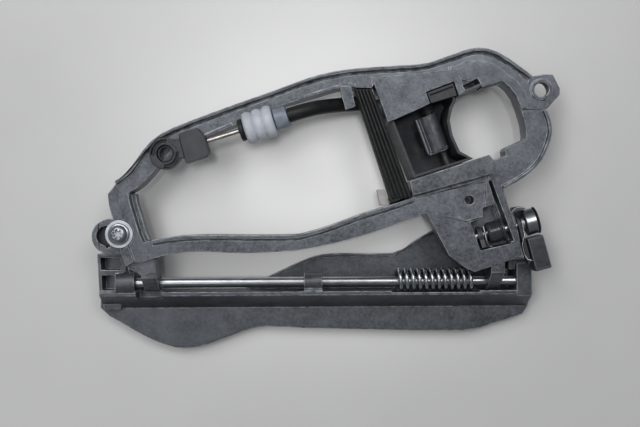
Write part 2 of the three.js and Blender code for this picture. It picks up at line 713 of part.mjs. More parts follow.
add(model, "guide_housing", "black_plastic", guideHousing());
add(
  housingFrame,
  "catch_pin",
  "dark_steel",
  slabAlongY(circle([PIN_U, PIN_Z], PIN_RADIUS, 16), -16.2, 16.6),
);
add(housingFrame, "catch_lever", "zinc_steel", catchLever());
add(housingFrame, "catch_spring", "dark_steel", catchSpring());
add(housingFrame, "cable_nipple", "zinc_steel", slabAlongY(circle([-1.1, 14.5], 1.7, 14), -2.5, 2.5));

// ---------------------------------------------------------------- pull cable

function eyelet() {
  const half = 2.6;
  const ring = slab(circle([0, 0], 7.3, 28), -half, half);
  const neck = slab(straight([[3, -4.2], [10, -4.6], [10, 4.6], [3, 4.2]]), -half, half);
  const block = slab(
    straight([[8, -7.3], [18.4, -7.3], [19.6, -6], [19.7, 2], [17.4, 6.8], [8.6, 6.8]]), -half, half + 0.8,
  );
  const socket = slab(circle([0, 0], 3.9, 20), -half - 1, half + 1);
  const arcSlots = [[70, 170], [250, 350]].map(([from, to]) => (
    slab([...arc([0, 0], 6.2, from, to, 8), ...arc([0, 0], 5.2, to, from, 8)], half - 1, half + 1)
  ));
  return cut(join(ring, neck, block), socket, ...arcSlots);
}

function bellows() {
  const from = 37.8;
  const pitch = 4.7;
  const profile = [[from, 2]];
  for (let i = 0; i < 3; i += 1) {
    const start = from + i * pitch;
    profile.push([start, 4.9], [start + 0.9, 7], [start + pitch / 2, 7.4], [start + pitch - 0.9, 7]);
  }
  const end = from + 3 * pitch;
  profile.push([end, 4.9], [end, 2], [from, 2]);
  return turned(profile, 24);
}

function sheath() {
  const start = new THREE.Vector3(SHEATH_START, 0, 0).applyMatrix4(cable.matrixWorld);
  const ahead = new THREE.Vector3(SHEATH_START + 4, 0, 0).applyMatrix4(cable.matrixWorld);
  return wire(
    [
      start.toArray(), ahead.toArray(), [-4, 42.2, 37.4], [3, 43.8, 32.4], [8, 44.7, 29.2],
      [13, 45.2, 27.6], [19, 45.6, 27], [24.6, 45.6, 26.8],
    ],
    SHEATH_RADIUS,
    26,
    12,
  );
}

add(cable, "cable_eyelet", "black_plastic", eyelet());
add(cable, "eyelet_bush", "dark_steel", turned([
  [-2, 2.2], [-2, 3.6], [1.2, 3.6], [1.2, 2.2], [-2, 2.2],
], 20).rotateY(-Math.PI / 2));
add(cable, "ferrule_tube", "zinc_steel", tubeAlongX(20, 35.2, 1.15, 0.7, 14));
add(cable, "bellows_washer", "black_plastic", tubeAlongX(35.5, 37.4, 5.1, 0.8, 20));
add(cable, "cable_core", "zinc_steel", rodAlongX(20.5, 53.2, 0.4, 8));
add(cable, "dust_bellows", "soft_white", bellows());
add(cable, "sheath_collar", "pale_plastic", turned([
  [52.3, 1.2], [52.3, 4.4], [53.4, 5], [57.4, 5], [58.4, 4], [58.4, 1.2], [52.3, 1.2],
], 20));
add(model, "cable_sheath", "sheath_black", sheath());
add(
  model,
  "sheath_ferrule",
  "dark_steel",
  rodAlongX(0, 9, 2.5, 14).rotateZ(-HOUSING_YAW).translate(25.4, 45.4, 26.5),
);

// ---------------------------------------------------------------- crash weight on its shaft

function inertiaHead() {
  return turned([
    [-4.3, SHAFT_RADIUS + GAP], [-4.3, 5.6], [-3.9, 6], [0, 6], [0.6, 5.4], [0.6, SHAFT_RADIUS + GAP],
    [-4.3, SHAFT_RADIUS + GAP],
  ], 28);
}

function inertiaLever() {
  return slabAlongX(
    [...arc([0, 0], 4, -90, 90, 12), ...straight([[-17.8, 3], [-19, 1.6], [-19, -2.4], [-17.8, -3.6]])],
    -8,
    -6.6,
    [circle([0, 0], SHAFT_RADIUS + GAP, 16)],
  );
}

function inertiaWeight() {
  const outline = straight([
    [-7, -4.4], [-7, 4.6], [-8.4, 5], [-22, 5], [-22.8, 4.2], [-22.8, -4.6], [-22, -5], [-8.4, -5],
  ]);
  return slabAlongX(outline, -5.9, 1.6);
}

add(inertia, "inertia_shaft", "zinc_steel", rodAlongX(-31, 1.6, SHAFT_RADIUS, 16));
add(inertia, "inertia_head", "zinc_steel", inertiaHead());
add(inertia, "shaft_washer", "black_plastic", tubeAlongX(0.9, 1.6, 6.3, SHAFT_RADIUS + GAP, 28));
add(inertia, "inertia_lever", "dark_steel", inertiaLever());
add(inertia, "inertia_weight", "dark_steel", inertiaWeight());
add(inertia, "inertia_spring", "zinc_steel", wire(coilPoints(-6, -4.9, 3.6, 1.4, 12), 0.3, 17, 6));
add(inertia, "inertia_roller", "black_plastic", turned([
  [-22.6, SHAFT_RADIUS + GAP], [-22.6, 4.6], [-21.6, 5.4], [-15.6, 5.4], [-14.6, 4.6],
  [-14.6, SHAFT_RADIUS + GAP], [-22.6, SHAFT_RADIUS + GAP],
], 24));
add(inertia, "inertia_pawl", "zinc_steel", slabAlongX(
  [...arc([0, 0], 4.2, -60, 120, 10), point(-5.6, 4.4), point(-6, -1), point(-3, -4.8)],
  -27,
  -25,
  [circle([0, 0], SHAFT_RADIUS + GAP, 16)],
));
add(inertia, "pawl_spring", "zinc_steel", wire(
  [[-24, 4, 4.2], [-24, 1, 4.4], [-24, -4.2, 4.2], [-23.4, -5.6, 3.6], [-22.4, -6.2, 3.4]], 0.45, 12, 6,
));

export default model;
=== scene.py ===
"""Builds the finished look of a die-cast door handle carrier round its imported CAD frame."""

import json
from math import cos, pi, radians, sin

import bmesh
import bpy
from mathutils import Matrix, Vector

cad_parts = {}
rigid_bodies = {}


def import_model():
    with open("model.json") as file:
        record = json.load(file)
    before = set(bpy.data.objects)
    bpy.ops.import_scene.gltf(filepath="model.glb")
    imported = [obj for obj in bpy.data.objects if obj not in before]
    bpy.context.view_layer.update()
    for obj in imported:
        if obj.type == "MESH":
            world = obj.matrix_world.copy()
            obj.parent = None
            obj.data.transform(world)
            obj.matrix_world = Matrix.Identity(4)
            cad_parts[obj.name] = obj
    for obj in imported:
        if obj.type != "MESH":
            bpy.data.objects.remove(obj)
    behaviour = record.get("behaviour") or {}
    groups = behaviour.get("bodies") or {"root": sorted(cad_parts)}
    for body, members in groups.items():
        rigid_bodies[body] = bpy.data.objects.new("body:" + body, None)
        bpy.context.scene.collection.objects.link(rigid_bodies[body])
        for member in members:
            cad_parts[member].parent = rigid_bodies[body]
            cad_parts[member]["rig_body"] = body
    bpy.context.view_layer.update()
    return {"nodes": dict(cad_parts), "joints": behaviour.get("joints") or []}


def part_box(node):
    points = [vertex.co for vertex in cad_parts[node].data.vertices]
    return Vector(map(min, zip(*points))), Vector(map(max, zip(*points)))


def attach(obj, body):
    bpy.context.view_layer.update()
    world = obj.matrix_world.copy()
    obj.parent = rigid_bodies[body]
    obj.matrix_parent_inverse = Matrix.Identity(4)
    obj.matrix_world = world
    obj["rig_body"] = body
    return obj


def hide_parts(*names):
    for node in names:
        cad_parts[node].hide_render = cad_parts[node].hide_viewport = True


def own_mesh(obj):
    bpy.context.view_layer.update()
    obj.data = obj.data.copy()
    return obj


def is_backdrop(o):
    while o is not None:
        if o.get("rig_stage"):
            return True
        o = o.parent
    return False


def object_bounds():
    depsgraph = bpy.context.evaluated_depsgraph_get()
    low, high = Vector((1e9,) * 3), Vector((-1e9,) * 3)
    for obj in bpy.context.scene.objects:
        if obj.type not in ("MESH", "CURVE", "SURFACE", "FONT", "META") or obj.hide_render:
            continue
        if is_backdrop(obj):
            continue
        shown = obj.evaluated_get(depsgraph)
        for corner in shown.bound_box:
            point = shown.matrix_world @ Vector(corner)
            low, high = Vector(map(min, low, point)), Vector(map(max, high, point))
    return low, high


bl_info = {
    "name": "Door Handle Carrier",
    "version": (1, 0, 0),
    "blender": (4, 5, 0),
    "location": "View3D > Sidebar > Handle",
    "description": "Makes the finished pieces of a car door handle carrier round its CAD frame",
    "category": "Add Mesh",
}

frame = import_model()
JOINTS = {joint["name"]: joint for joint in frame["joints"]}

MM = 0.001
MERGE = 0.05 * MM
STEPS_PER_TURN = 20
FLOOR_HALF_WIDTH = 1.5
FLOOR_GAP = 0.2 * MM
CAMERA_HEIGHT = 443 * MM


# ---------------------------------------------------------------- places


def middle(node):
    """The middle of a CAD node's box."""
    low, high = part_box(node)
    return (low + high) / 2


def place_along(origin, direction):
    """A place whose X axis runs along a direction, with its Z axis as far up as it can be."""
    along = Vector(direction).normalized()
    guide = Vector((0, 1, 0)) if abs(along.z) > 0.9 else Vector((0, 0, 1))
    side = guide.cross(along).normalized()
    up = along.cross(side)
    return Matrix.Translation(Vector(origin)) @ Matrix((along, side, up)).transposed().to_4x4()


def reach(node, place):
    """The lowest and highest corners of a CAD node, measured in a place's own axes."""
    inward = place.inverted()
    corners = [inward @ vertex.co for vertex in frame["nodes"][node].data.vertices]
    low = Vector(min(corner[i] for corner in corners) for i in range(3))
    high = Vector(max(corner[i] for corner in corners) for i in range(3))
    return low, high


def turned(node, place):
    """Start, end and radius of a round CAD node along a place's X axis, in millimetres."""
    low, high = reach(node, place)
    return low.x / MM, high.x / MM, high.y / MM


ROD = place_along(JOINTS["flap_swing"]["pos_m"], (1, 0, 0))
CABLE = place_along(middle("ferrule_tube"), JOINTS["cable_pull"]["axis"])
WEIGHT = place_along(
    JOINTS["inertia_swing"]["pos_m"], -Vector(JOINTS["inertia_swing"]["axis"])
)
CATCH = place_along(
    JOINTS["catch_turn"]["pos_m"],
    Vector(JOINTS["catch_turn"]["axis"]).cross(Vector((0, 0, 1))),
)
CATCH_PIN = place_along(JOINTS["catch_turn"]["pos_m"], JOINTS["catch_turn"]["axis"])
SCREW = place_along(middle("front_fixing_screw"), (0, 0, 1))
BUSH = place_along(middle("eyelet_bush"), CABLE.to_3x3() @ Vector((0, 0, 1)))
FERRULE = place_along(
    middle("sheath_ferrule"), Vector(JOINTS["catch_turn"]["axis"]).cross(Vector((0, 0, 1)))
)


# ---------------------------------------------------------------- sizes and colours


def srgb(code):
    """A hex colour as linear red, green and blue."""
    shares = [int(code[i : i + 2], 16) / 255 for i in (1, 3, 5)]
    return tuple(c / 12.92 if c <= 0.04045 else ((c + 0.055) / 1.055) ** 2.4 for c in shares)


class HandleSizes(bpy.types.PropertyGroup):
    """The sizes of edges, wires and moulded detail."""

    cast_edge: bpy.props.FloatProperty(
        name="Cast edge", description="Rounding of the casting's edges",
        default=0.35 * MM, min=0, unit="LENGTH",
    )
    moulded_edge: bpy.props.FloatProperty(
        name="Moulded edge", description="Rounding of the plastic mouldings' edges",
        default=0.3 * MM, min=0, unit="LENGTH",
    )
    steel_edge: bpy.props.FloatProperty(
        name="Steel edge", description="Rounding of turned and pressed steel edges",
        default=0.2 * MM, min=0, unit="LENGTH",
    )
    return_wire: bpy.props.FloatProperty(
        name="Return spring wire", description="Thickness of the return spring's wire",
        default=1.9 * MM, min=0.1 * MM, unit="LENGTH",
    )
    return_turns: bpy.props.FloatProperty(
        name="Return spring turns", description="Number of turns of the return spring",
        default=12.2, min=1,
    )
    bellows_folds: bpy.props.IntProperty(
        name="Bellows folds", description="Number of folds of the dust bellows", default=3, min=1,
    )
    bellows_wall: bpy.props.FloatProperty(
        name="Bellows wall", description="Thickness of the dust bellows' rubber",
        default=0.8 * MM, min=0.1 * MM, unit="LENGTH",
    )


class HandleColours(bpy.types.PropertyGroup):
    """The colours of the finishes."""

    frame_dark: bpy.props.FloatVectorProperty(
        name="Frame alloy, dark", description="Darker tone of the frame's die-cast alloy",
        default=srgb("#3c3f44"), size=3, subtype="COLOR", min=0, max=1,
    )
    frame_light: bpy.props.FloatVectorProperty(
        name="Frame alloy, light", description="Lighter tone of the frame's die-cast alloy",
        default=srgb("#82878e"), size=3, subtype="COLOR", min=0, max=1,
    )
    # the flap is cast in the frame's alloy; these two tones are set darker than the frame's as
    # painted shade, for the darker light that the flap reflects
    flap_dark_with_painted_shade: bpy.props.FloatVectorProperty(
        name="Flap alloy, dark", description="Darker tone of the flap's die-cast alloy",
        default=srgb("#44474b"), size=3, subtype="COLOR", min=0, max=1,
    )
    flap_light_with_painted_shade: bpy.props.FloatVectorProperty(
        name="Flap alloy, light", description="Lighter tone of the flap's die-cast alloy",
        default=srgb("#70747a"), size=3, subtype="COLOR", min=0, max=1,
    )
    cast_worn: bpy.props.FloatVectorProperty(
        name="Cast metal, worn", description="Bare alloy on rubbed edges",
        default=srgb("#b4b8bd"), size=3, subtype="COLOR", min=0, max=1,
    )
    zinc: bpy.props.FloatVectorProperty(
        name="Zinc plate", description="Clear zinc plating on steel",
        default=srgb("#c2c6cb"), size=3, subtype="COLOR", min=0, max=1,
    )
    screw_zinc: bpy.props.FloatVectorProperty(
        name="Screw zinc", description="Duller zinc plate of the front screw",
        default=srgb("#bcc1c7"), size=3, subtype="COLOR", min=0, max=1,
    )
    spring_wire: bpy.props.FloatVectorProperty(
        name="Spring wire", description="Hard-drawn spring wire",
        default=srgb("#d2d7db"), size=3, subtype="COLOR", min=0, max=1,
    )
    crimped_tube: bpy.props.FloatVectorProperty(
        name="Crimped tube", description="Warm grey tube on the cable's core",
        default=srgb("#d6d1cb"), size=3, subtype="COLOR", min=0, max=1,
    )
    dark_steel: bpy.props.FloatVectorProperty(
        name="Phosphated steel", description="Dark phosphate coating on steel",
        default=srgb("#3a3c40"), size=3, subtype="COLOR", min=0, max=1,
    )
    pressed_steel: bpy.props.FloatVectorProperty(
        name="Pressed steel", description="Oiled steel of the catch",
        default=srgb("#44464a"), size=3, subtype="COLOR", min=0, max=1,
    )
    black_nylon: bpy.props.FloatVectorProperty(
        name="Black nylon", description="Black glass-filled nylon",
        default=srgb("#0d0e0f"), size=3, subtype="COLOR", min=0, max=1,
    )
    housing_nylon: bpy.props.FloatVectorProperty(
        name="Housing nylon", description="Black nylon of the guide housing",
        default=srgb("#2e2f32"), size=3, subtype="COLOR", min=0, max=1,
    )
    grey_nylon: bpy.props.FloatVectorProperty(
        name="Grey nylon", description="Grey-black nylon of the cable's eyelet",
        default=srgb("#25282b"), size=3, subtype="COLOR", min=0, max=1,
    )
    roller_nylon: bpy.props.FloatVectorProperty(
        name="Roller nylon", description="Black polished nylon of the roller",
        default=srgb("#26282b"), size=3, subtype="COLOR", min=0, max=1,
    )
    clip_nylon: bpy.props.FloatVectorProperty(
        name="Clip nylon", description="Neutral grey nylon of the bridge's clip",
        default=srgb("#777574"), size=3, subtype="COLOR", min=0, max=1,
    )
    white_nylon: bpy.props.FloatVectorProperty(
        name="White nylon", description="Pale nylon of the screw's washer",
        default=srgb("#a4a8af"), size=3, subtype="COLOR", min=0, max=1,
    )
    natural_nylon: bpy.props.FloatVectorProperty(
        name="Natural nylon", description="Pale, slightly blue nylon",
        default=srgb("#5a616b"), size=3, subtype="COLOR", min=0, max=1,
    )
    silicone: bpy.props.FloatVectorProperty(
        name="Silicone rubber", description="Milky white silicone rubber",
        default=srgb("#989ca4"), size=3, subtype="COLOR", min=0, max=1,
    )
    sheath: bpy.props.FloatVectorProperty(
        name="Cable sheath", description="Black extruded sheath",
        default=srgb("#08090a"), size=3, subtype="COLOR", min=0, max=1,
    )
    floor: bpy.props.FloatVectorProperty(
        name="Floor", description="Pale floor under the part",
        default=srgb("#cbcbcb"), size=3, subtype="COLOR", min=0, max=1,
    )


# ---------------------------------------------------------------- materials

# the sockets of a Mix node that mixes colours
MIX_SHARE, MIX_FROM, MIX_TO, MIX_RESULT = 0, 6, 7, 2

# most of a noise's values lie between these
NOISE_LOW, NOISE_HIGH = 0.35, 0.65


def add_node(tree, kind, settings=None, values=None, links=None):
    """Adds one node with its settings, its inputs' values and its links from other sockets."""
    made = tree.nodes.new(kind)
    for name, value in (settings or {}).items():
        setattr(made, name, value)
    for name, value in (values or {}).items():
        made.inputs[name].default_value = value
    for name, socket in (links or {}).items():
        tree.links.new(socket, made.inputs[name])
    return made


def per_metre(size_mm):
    """A noise scale that gives features of a size in millimetres."""
    return 1 / (size_mm * MM)


def opaque(colour):
    """A colour with full alpha."""
    return (*colour, 1.0)


def start_material(name):
    """A new material's node tree, with its surface shader and its object coordinates."""
    material = bpy.data.materials.new(name)
    material.use_nodes = True
    tree = material.node_tree
    tree.nodes.clear()
    shader = add_node(tree, "ShaderNodeBsdfPrincipled")
    add_node(tree, "ShaderNodeOutputMaterial", links={"Surface": shader.outputs["BSDF"]})
    place = add_node(tree, "ShaderNodeTexCoord").outputs["Object"]
    return material, tree, shader, place


def two_tones(tree, share, dark, light):
    """A colour between two, by a share from 0 to 1."""
    mixed = add_node(
        tree, "ShaderNodeMix", {"data_type": "RGBA"},
        {MIX_FROM: opaque(dark), MIX_TO: opaque(light)}, {MIX_SHARE: share},
    )
    return mixed.outputs[MIX_RESULT]


def worn_over(tree, share, body, bare):
    """A body colour that gives way to bare metal, by a share from 0 to 1."""
    mixed = add_node(
        tree, "ShaderNodeMix", {"data_type": "RGBA"}, {MIX_TO: opaque(bare)},
        {MIX_SHARE: share, MIX_FROM: body},
    )
    return mixed.outputs[MIX_RESULT]


def reckon(tree, operation, first, second, clamped=False):
    """The sum or the product of two values."""
    settings = {"operation": operation, "use_clamp": clamped}
    made = add_node(tree, "ShaderNodeMath", settings, links={0: first, 1: second})
    return made.outputs["Value"]


def rubbed_share(tree):
    """How far the metal of a face is rubbed, from its face attribute."""
    return add_node(tree, "ShaderNodeAttribute", {"attribute_name": "rubbed"}).outputs["Fac"]


def spread(tree, value, low, high):
    """A noise value stretched to a range."""
    ranged = add_node(
        tree,
        "ShaderNodeMapRange",
        values={"From Min": NOISE_LOW, "From Max": NOISE_HIGH, "To Min": low, "To Max": high},
        links={"Value": value},
    )
    return ranged.outputs["Result"]


def grain(tree, place, size_mm, detail=2.0, roughness=0.5):
    """A noise value whose features have a size in millimetres."""
    noise = add_node(
        tree,
        "ShaderNodeTexNoise",
        values={"Scale": per_metre(size_mm), "Detail": detail, "Roughness": roughness},
        links={"Vector": place},
    )
    return noise.outputs["Fac"]


def bump(tree, shader, height, depth_mm, strength, over=None):
    """Raises the surface by a height map, on top of another bump where one is given."""
    links = {"Height": height}
    if over is not None:
        links["Normal"] = over
    values = {"Distance": depth_mm * MM, "Strength": strength}
    raised = add_node(tree, "ShaderNodeBump", values=values, links=links)
    tree.links.new(raised.outputs["Normal"], shader.inputs["Normal"])
    return raised.outputs["Normal"]


def cast_alloy(name, dark, light, worn):
    """Zinc-aluminium die casting, tumbled and bare: a half-matt grey metal, cloudy where the melt
    flowed, streaked and freckled, with brighter metal where its edges have rubbed."""
    material, tree, shader, place = start_material(name)
    clouds = spread(tree, grain(tree, place, 9, 4, 0.6), 0.0, 0.34)
    freckles = grain(tree, place, 1.7, 4, 0.7)
    specks = grain(tree, place, 0.8, 2, 0.6)
    cloudy = reckon(tree, "ADD", clouds, spread(tree, freckles, 0.0, 0.42))
    share = reckon(tree, "ADD", cloudy, spread(tree, specks, -0.08, 0.12), clamped=True)
    body = two_tones(tree, share, dark, light)
    patches = spread(tree, grain(tree, place, 3, 3), 0.1, 0.9)
    patchy = reckon(tree, "MULTIPLY", rubbed_share(tree), patches)
    tree.links.new(worn_over(tree, patchy, body, worn), shader.inputs["Base Color"])
    tree.links.new(spread(tree, freckles, 0.38, 0.54), shader.inputs["Roughness"])
    shader.inputs["Metallic"].default_value = 0.7
    # the real skin is finer than 0.3 mm, drawn coarser so that it shows
    fine = bump(tree, shader, grain(tree, place, 0.6, 2), 0.03, 0.45)
    bump(tree, shader, grain(tree, place, 4, 3), 0.2, 0.5, over=fine)
    return material


def plated_steel(name, colour, roughness=0.2):
    """Clear zinc plating over drawn or turned steel: bright, smooth and faintly stained."""
    material, tree, shader, place = start_material(name)
    stains = spread(tree, grain(tree, place, 5, 2), 0, 1)
    dull = [0.8 * c for c in colour]
    tree.links.new(two_tones(tree, stains, dull, colour), shader.inputs["Base Color"])
    tree.links.new(
        spread(tree, grain(tree, place, 3, 2), roughness - 0.02, roughness + 0.05),
        shader.inputs["Roughness"],
    )
    shader.inputs["Metallic"].default_value = 1.0
    return material


def coated_steel(name, colour, roughness=0.5, metallic=0.6):
    """Phosphated or oiled pressed steel: dark, half-matt, lighter where the coat is thin."""
    material, tree, shader, place = start_material(name)
    thin = [min(1.6 * c, 1) for c in colour]
    blotches = spread(tree, grain(tree, place, 3, 4, 0.6), 0, 1)
    body = two_tones(tree, blotches, colour, thin)
    bare = [min(3.2 * c, 1) for c in colour]
    rubbed = worn_over(tree, rubbed_share(tree), body, bare)
    tree.links.new(rubbed, shader.inputs["Base Color"])
    tree.links.new(
        spread(tree, grain(tree, place, 0.8, 2), roughness - 0.08, roughness + 0.1),
        shader.inputs["Roughness"],
    )
    shader.inputs["Metallic"].default_value = metallic
    bump(tree, shader, grain(tree, place, 0.4, 2), 0.02, 0.5)
    return material


def moulded_plastic(name, colour, roughness=0.5, fibre=0.35, subsurface=0.0, handled=1.5):
    """Moulded nylon or rubber: an even colour with a fine eroded skin, paler where handled."""
    material, tree, shader, place = start_material(name)
    paler = [min(handled * c + 0.004, 1) for c in colour]
    tree.links.new(
        two_tones(tree, spread(tree, grain(tree, place, 5, 4, 0.6), 0, 1), colour, paler),
        shader.inputs["Base Color"],
    )
    tree.links.new(
        spread(tree, grain(tree, place, 1.0, 2), roughness - 0.08, roughness + 0.08),
        shader.inputs["Roughness"],
    )
    shader.inputs["Subsurface Weight"].default_value = subsurface
    shader.inputs["Subsurface Radius"].default_value = (2 * MM, 2 * MM, 2 * MM)
    shader.inputs["Subsurface Scale"].default_value = 1.0
    bump(tree, shader, grain(tree, place, fibre, 2), 0.02, 0.6)
    return material


def pale_floor(name, colour):
    """A melamine-faced board: pale, half-matt and very slightly uneven."""
    material, tree, shader, place = start_material(name)
    darker = [0.975 * c for c in colour]
    tree.links.new(
        two_tones(tree, spread(tree, grain(tree, place, 60, 2), 0, 1), darker, colour),
        shader.inputs["Base Color"],
    )
    shader.inputs["Roughness"].default_value = 0.42
    bump(tree, shader, grain(tree, place, 1.5, 2), 0.02, 0.2)
    return material


def finish_named(name):
    """The material of a finish, made the first time that it is asked for."""
    known = bpy.data.materials.get(name)
    if known:
        return known
    c = bpy.context.scene.handle_colours
    makers = {
        "die_cast_frame_alloy": lambda: cast_alloy(name, c.frame_dark, c.frame_light, c.cast_worn),
        # painted shade: the flap's alloy is the frame's metal drawn in darker tones
        "flap_alloy_with_painted_shade": lambda: cast_alloy(name, c.flap_dark_with_painted_shade, c.flap_light_with_painted_shade, c.cast_worn),
        "zinc_plated_steel": lambda: plated_steel(name, c.zinc, 0.3),
        "dull_zinc_plated_steel": lambda: plated_steel(name, c.screw_zinc, 0.38),
        "hard_drawn_spring_wire": lambda: plated_steel(name, c.spring_wire, 0.27),
        "crimped_nickel_silver": lambda: plated_steel(name, c.crimped_tube, 0.34),
        "phosphated_steel": lambda: coated_steel(name, c.dark_steel),
        "oiled_pressed_steel": lambda: coated_steel(name, c.pressed_steel, 0.42, 0.8),
        "black_glass_filled_nylon": lambda: moulded_plastic(name, c.black_nylon, 0.55),
        "satin_black_nylon": lambda: moulded_plastic(name, c.housing_nylon, 0.6),
        "grey_black_nylon": lambda: moulded_plastic(name, c.grey_nylon, 0.4),
        "polished_black_nylon": lambda: moulded_plastic(name, c.roller_nylon, 0.24, 1.2),
        "neutral_grey_nylon": lambda: moulded_plastic(name, c.clip_nylon, 0.45),
        "white_nylon": lambda: moulded_plastic(name, c.white_nylon, 0.32, 0.8, 0.1),
        "natural_nylon": lambda: moulded_plastic(name, c.natural_nylon, 0.4, 0.5, 0.15),
        "milky_silicone_rubber": lambda: moulded_plastic(name, c.silicone, 0.42, 1.2, 0.3, 1.15),
        "extruded_sheath": lambda: moulded_plastic(name, c.sheath, 0.5, 0.9),
        "melamine_board": lambda: pale_floor(name, c.floor),
    }
    return makers[name]()


# ---------------------------------------------------------------- making pieces


def from_cad(node):
    """A clean solid of a CAD node, with its loose triangles merged."""
    bm = bmesh.new()
    bm.from_mesh(frame["nodes"][node].data)
    bmesh.ops.remove_doubles(bm, verts=bm.verts, dist=MERGE)
    bmesh.ops.dissolve_degenerate(bm, dist=MERGE / 2, edges=bm.edges)
    return bm


def rubbed_layer(bm):
    """The face attribute that says how far the metal is rubbed."""
    layers = bm.faces.layers.float
    return layers.get("rubbed") or layers.new("rubbed")


def soften(bm, width, segments=2, sharper_than=25):
    """Rounds a solid's edges, and marks the outer ones as rubbed in a face attribute."""
    rubbed = rubbed_layer(bm)
    edges = [edge for edge in bm.edges if edge.calc_face_angle(0) > radians(sharper_than)]
    made = bmesh.ops.bevel(
        bm, geom=edges, offset=width, offset_type="OFFSET", affect="EDGES", segments=segments,
        profile=0.5, material=-1, clamp_overlap=False,
    )
    for face in made["faces"]:
        face[rubbed] = 1.0
    return bm


def lathe(profile, place, steps=48, closed=False):
    """Turns (distance along X, radius) pairs, in millimetres, round a place's X axis."""
    bm = bmesh.new()
    line = [bm.verts.new((along * MM, radius * MM, 0)) for along, radius in profile]
    ends = line[1:] + line[:1] if closed else line[1:]
    for start, end in zip(line, ends):
        bm.edges.new((start, end))
    bmesh.ops.spin(
        bm, geom=bm.verts[:] + bm.edges[:], cent=(0, 0, 0), axis=(1, 0, 0), dvec=(0, 0, 0),
        angle=2 * pi, steps=steps, use_merge=True,
    )
    bmesh.ops.remove_doubles(bm, verts=bm.verts, dist=MERGE / 10)
    bmesh.ops.recalc_face_normals(bm, faces=bm.faces)
    bm.transform(place)
    return bm


def coil(low, high, radius, turns, start=0.0):
    """Points of a helix round the X axis."""
    count = round(turns * STEPS_PER_TURN)
    points = []
    for i in range(count + 1):
        angle = start + 2 * pi * i / STEPS_PER_TURN
        along = low + (high - low) * i / count
        points.append(Vector((along, radius * cos(angle), radius * sin(angle))))
    return points


def wire(points, thickness, place, kind="POLY", sides=3):
    """A round wire or hose through points given in a place's own axes."""
    curve = bpy.data.curves.new("wire", "CURVE")
    curve.dimensions = "3D"
    curve.bevel_depth = thickness / 2
    curve.bevel_resolution = sides
    curve.resolution_u = 8
    curve.use_fill_caps = True
    spline = curve.splines.new(kind)
    if kind == "BEZIER":
        spline.bezier_points.add(len(points) - 1)
        for knot, point in zip(spline.bezier_points, points):
            knot.co = place @ Vector(point)
            knot.handle_left_type = knot.handle_right_type = "AUTO"
    else:
        spline.points.add(len(points) - 1)
        for knot, point in zip(spline.points, points):
            knot.co = (*(place @ Vector(point)), 1)
        spline.use_endpoint_u = True
    holder = bpy.data.objects.new("wire", curve)
    bpy.context.scene.collection.objects.link(holder)
    bpy.context.view_layer.update()
    mesh = bpy.data.meshes.new_from_object(holder)
    bpy.data.objects.remove(holder)
    bpy.data.curves.remove(curve)
    bm = bmesh.new()
    bm.from_mesh(mesh)
    bpy.data.meshes.remove(mesh)
    bmesh.ops.remove_doubles(bm, verts=bm.verts, dist=MERGE / 10)
    bmesh.ops.recalc_face_normals(bm, faces=bm.faces)
    return bm


def block(low, high, place):
    """A box between two corners given in a place's own axes."""
    low, high = Vector(low), Vector(high)
    bm = bmesh.new()
    bmesh.ops.create_cube(bm, size=1)
    bmesh.ops.scale(bm, verts=bm.verts, vec=high - low)
    bmesh.ops.translate(bm, verts=bm.verts, vec=(low + high) / 2)
    bm.transform(place)
    return bm


def combine(bm, other, operation="DIFFERENCE"):
    """Cuts one solid out of another, or joins the two."""
    holders = []
    for solid in (bm, other):
        mesh = bpy.data.meshes.new("combine")
        solid.to_mesh(mesh)
        solid.free()
        holder = bpy.data.objects.new("combine", mesh)
        bpy.context.scene.collection.objects.link(holder)
        holders.append(holder)
    body, tool = holders
    joining = body.modifiers.new("combine", "BOOLEAN")
    joining.operation = operation
    joining.solver = "EXACT"
    joining.object = tool
    bpy.context.view_layer.update()
    graph = bpy.context.evaluated_depsgraph_get()
    result = bpy.data.meshes.new_from_object(body.evaluated_get(graph))
    for holder in holders:
        bpy.data.objects.remove(holder)
    combined = bmesh.new()
    combined.from_mesh(result)
    bpy.data.meshes.remove(result)
    return combined


def pushed(outline, low, high, place):
    """Pushes an outline of (x, z) pairs from one y to another, in millimetres in a place's axes."""
    bm = bmesh.new()
    face = bm.faces.new([bm.verts.new((x * MM, low * MM, z * MM)) for x, z in outline])
    made = bmesh.ops.extrude_face_region(bm, geom=[face])
    moved = [item for item in made["geom"] if isinstance(item, bmesh.types.BMVert)]
    bmesh.ops.translate(bm, verts=moved, vec=(0, (high - low) * MM, 0))
    bmesh.ops.recalc_face_normals(bm, faces=bm.faces)
    bm.transform(place)
    return bm


def mark_rubbed(bm, place, low, high, share):
    """Marks the faces whose middle lies between two corners, in millimetres in a place's axes."""
    rubbed = rubbed_layer(bm)
    inward = place.inverted()
    for face in bm.faces:
        spot = inward @ face.calc_center_median() / MM
        if all(a <= b <= c for a, b, c in zip(low, spot, high)):
            face[rubbed] = share


def keep(bm, name, finish, stands_for, smooth=32):
    """Makes a finished piece of a solid: it rides on its body and stands for its CAD node."""
    body = frame["nodes"][stands_for]["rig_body"]
    mesh = bpy.data.meshes.new(name)
    bm.to_mesh(mesh)
    bm.free()
    mesh.polygons.foreach_set("use_smooth", [True] * len(mesh.polygons))
    mesh.set_sharp_from_angle(angle=radians(smooth))
    mesh.materials.append(finish_named(finish))
    piece = bpy.data.objects.new(name, mesh)
    bpy.context.scene.collection.objects.link(piece)
    evened = piece.modifiers.new("even shading", "WEIGHTED_NORMAL")
    evened.keep_sharp = True
    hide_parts(stands_for)
    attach(piece, body)
    return piece


def finish_cad(node, name, finish, width, segments=2, sharper_than=25):
    """Makes a finished piece of a CAD node's own solid, with its edges rounded."""
    return keep(soften(from_cad(node), width, segments, sharper_than), name, finish, node)


def sizes():
    """The sizes set in the panel."""
    return bpy.context.scene.handle_sizes


# ---------------------------------------------------------------- operators, one for each piece


